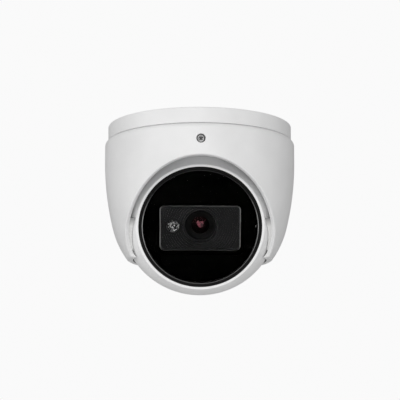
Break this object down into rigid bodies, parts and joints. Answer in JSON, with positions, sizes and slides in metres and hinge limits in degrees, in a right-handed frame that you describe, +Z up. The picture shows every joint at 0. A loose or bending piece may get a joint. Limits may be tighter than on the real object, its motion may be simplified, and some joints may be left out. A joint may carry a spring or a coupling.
{
  "type": "turret security camera",
  "caption": "Ceiling turret camera: round base, white bowl-shaped shell that pans, and a tilting, turning ball with a flat black glass front over a lens panel.",
  "frame": {"origin": "centre of the base's ceiling face", "axes": "+Z up into the ceiling, along the pan axis; -Y is the side that the lens faces at rest"},
  "size_m": [0.11, 0.11, 0.0978],
  "materials": {
    "white_paint": "satin powder coat",
    "black_rubber": "matt",
    "liner_plastic": "satin",
    "screw_steel": "bright zinc plate",
    "bare_aluminium": "as cast",
    "gland_plastic": "matt",
    "front_glass": "clear, flat",
    "mask_black": "fine matt",
    "panel_black": "fine matt",
    "lens_black": "satin",
    "lens_glass": "coated",
    "filter_glass": "coated",
    "lamp_clear": "clear",
    "board_green": "solder mask",
    "chip_black": "matt",
    "can_metal": "plated",
    "led_dark": "dark epoxy",
    "board_black": "black solder mask",
    "connector_white": "satin",
    "flex_amber": "glossy",
    "pad_grey": "soft"
  },
  "bodies": {
    "base": {"base_plate": "white_paint", "mount_gasket": "black_rubber"},
    "turret": {"outer_shell": "white_paint", "pan_retaining_ring": "liner_plastic", "front_lock_screw": "screw_steel", "side_screws": "screw_steel", "ball_clamp_ring": "bare_aluminium", "upper_friction_ring": "black_rubber", "lower_seat_ring": "liner_plastic"},
    "swivel": {"cable_gland": "gland_plastic", "gland_nut": "gland_plastic", "gland_grommet": "black_rubber"},
    "ball": {"ball_front_shell": "white_paint", "ball_rear_shell": "white_paint", "ball_seal": "black_rubber", "ball_screws": "screw_steel", "front_glass": "front_glass", "glass_gasket": "black_rubber", "mask_plate": "mask_black", "lens_panel": "panel_black", "lens_barrel": "lens_black", "lens_front_ring": "lens_black", "lens_front_element": "lens_glass", "lens_middle_element": "lens_glass", "lens_rear_element": "lens_glass", "lens_holder": "lens_black", "ir_cut_filter": "filter_glass", "image_sensor": "chip_black", "sensor_board": "board_green", "sensor_standoffs": "screw_steel", "sensor_board_screws": "screw_steel", "led_board": "board_black", "ir_led": "led_dark", "ir_led_lens": "lamp_clear", "microphone": "chip_black", "microphone_board": "board_green", "inner_bracket": "bare_aluminium", "bracket_screws": "screw_steel", "board_standoffs": "screw_steel", "main_board": "board_green", "main_board_screws": "screw_steel", "memory_chips": "chip_black", "capacitors": "can_metal", "processor": "chip_black", "thermal_pad": "pad_grey", "heat_sink": "bare_aluminium", "board_connectors": "connector_white", "flex_cable": "flex_amber"}
  },
  "joints": [
    {"name": "pan", "type": "hinge", "parent": "base", "child": "turret", "pos_m": [0, 0, 0], "axis": [0, 0, 1], "range_deg": [-180, 180]},
    {"name": "tilt", "type": "hinge", "parent": "turret", "child": "swivel", "pos_m": [0, 0, -0.0522], "axis": [1, 0, 0], "range_deg": [-22.7, 55.3]},
    {"name": "roll", "type": "hinge", "parent": "swivel", "child": "ball", "pos_m": [0, 0, -0.0522], "axis": [0, -0.9225, -0.3859], "range_deg": [-180, 180]}
  ]
}
